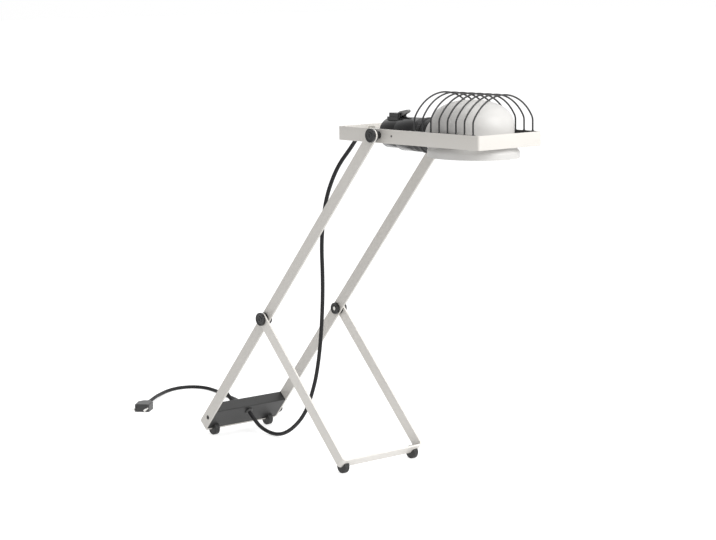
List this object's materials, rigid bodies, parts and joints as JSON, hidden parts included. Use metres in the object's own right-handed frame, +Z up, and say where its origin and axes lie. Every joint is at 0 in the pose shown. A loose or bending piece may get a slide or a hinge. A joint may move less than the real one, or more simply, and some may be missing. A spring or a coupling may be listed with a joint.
{
  "type": "adjustable table lamp",
  "caption": "Folding table lamp: crossed strip stand with weighted foot, tilting strip head with bowl reflector under a wire guard, lever switch, lead and plug.",
  "frame": {"origin": "on the table, under the middle of the lamp's box without its mains lead", "axes": "+X forward, the way the head points, +Y across to the lamp's left, +Z up"},
  "size_m": [0.949, 0.2328, 0.56],
  "materials": {
    "enamel": "satin",
    "black_paint": "satin",
    "black_plastic": "satin",
    "black_gloss": "gloss",
    "black_steel": "satin",
    "rubber": "matte",
    "cast_weight": "rough",
    "white_plastic": "matte",
    "zinc_steel": "brushed",
    "grey_plastic": "gloss",
    "porcelain": "gloss",
    "brass": "satin",
    "pale_ring": "satin",
    "nickel_cap": "satin",
    "opal_glass": "opal",
    "cord": "matte",
    "nickel_pins": "polished"
  },
  "bodies": {
    "stand": {"arm_frame": "enamel", "case_cover": "black_paint", "case_base": "black_paint", "ballast_weights": "cast_weight", "terminal_block": "white_plastic", "case_screws": "black_steel", "rear_feet": "rubber", "lead_grommet": "black_plastic", "mains_relief": "black_plastic", "mid_spacers": "black_plastic", "mid_inner_knobs": "black_plastic", "mid_bolts": "zinc_steel", "head_spacers": "black_plastic", "head_bolts": "zinc_steel", "head_nuts": "zinc_steel", "head_lead": "cord", "mains_lead_rear": "cord", "mains_coil": "cord", "mains_lead": "cord", "plug_body": "black_plastic", "plug_pins": "nickel_pins"},
    "front_legs": {"leg_frame": "enamel", "front_feet": "rubber"},
    "head": {"head_frame": "enamel", "earth_tag": "zinc_steel", "earth_screw": "zinc_steel", "guard_rails": "black_paint", "guard_hoops": "black_paint", "reflector": "enamel", "holder_tube": "zinc_steel", "tube_nuts": "zinc_steel", "lead_grip": "black_plastic", "holder_cap": "black_gloss", "switch_pin": "zinc_steel", "holder_skirt": "black_gloss", "holder_insulator": "porcelain", "holder_shell": "brass", "holder_contact": "brass", "shade_ring": "pale_ring", "bulb_cap": "nickel_cap", "bulb_glass": "opal_glass"},
    "switch": {"switch_lever": "grey_plastic"},
    "mid_knob_left": {"mid_knob_left": "black_plastic"},
    "mid_knob_right": {"mid_knob_right": "black_plastic"},
    "head_knob_left": {"head_knob_left": "black_plastic"},
    "head_knob_right": {"head_knob_right": "black_plastic"}
  },
  "joints": [
    {"name": "leg_fold", "type": "hinge", "parent": "stand", "child": "front_legs", "pos_m": [-0.14032, 0, 0.208], "axis": [0, 1, 0], "range_deg": [-50, 70]},
    {"name": "head_tilt", "type": "hinge", "parent": "stand", "child": "head", "pos_m": [0.11226, 0, 0.49856], "axis": [0, 1, 0], "range_deg": [-45, 75], "deforming": ["head_lead"]},
    {"name": "switch_throw", "type": "hinge", "parent": "head", "child": "switch", "pos_m": [0.09326, 0, 0.52306], "axis": [0, 1, 0], "range_deg": [-30, 0]},
    {"name": "mid_clamp_left", "type": "hinge", "parent": "stand", "child": "mid_knob_left", "pos_m": [-0.14032, 0.074, 0.208], "axis": [0, 1, 0], "range_deg": [0, 180]},
    {"name": "mid_clamp_right", "type": "hinge", "parent": "stand", "child": "mid_knob_right", "pos_m": [-0.14032, -0.074, 0.208], "axis": [0, -1, 0], "range_deg": [0, 180]},
    {"name": "head_clamp_left", "type": "hinge", "parent": "stand", "child": "head_knob_left", "pos_m": [0.11226, 0.074, 0.49856], "axis": [0, 1, 0], "range_deg": [0, 180]},
    {"name": "head_clamp_right", "type": "hinge", "parent": "stand", "child": "head_knob_right", "pos_m": [0.11226, -0.074, 0.49856], "axis": [0, -1, 0], "range_deg": [0, 180]}
  ]
}
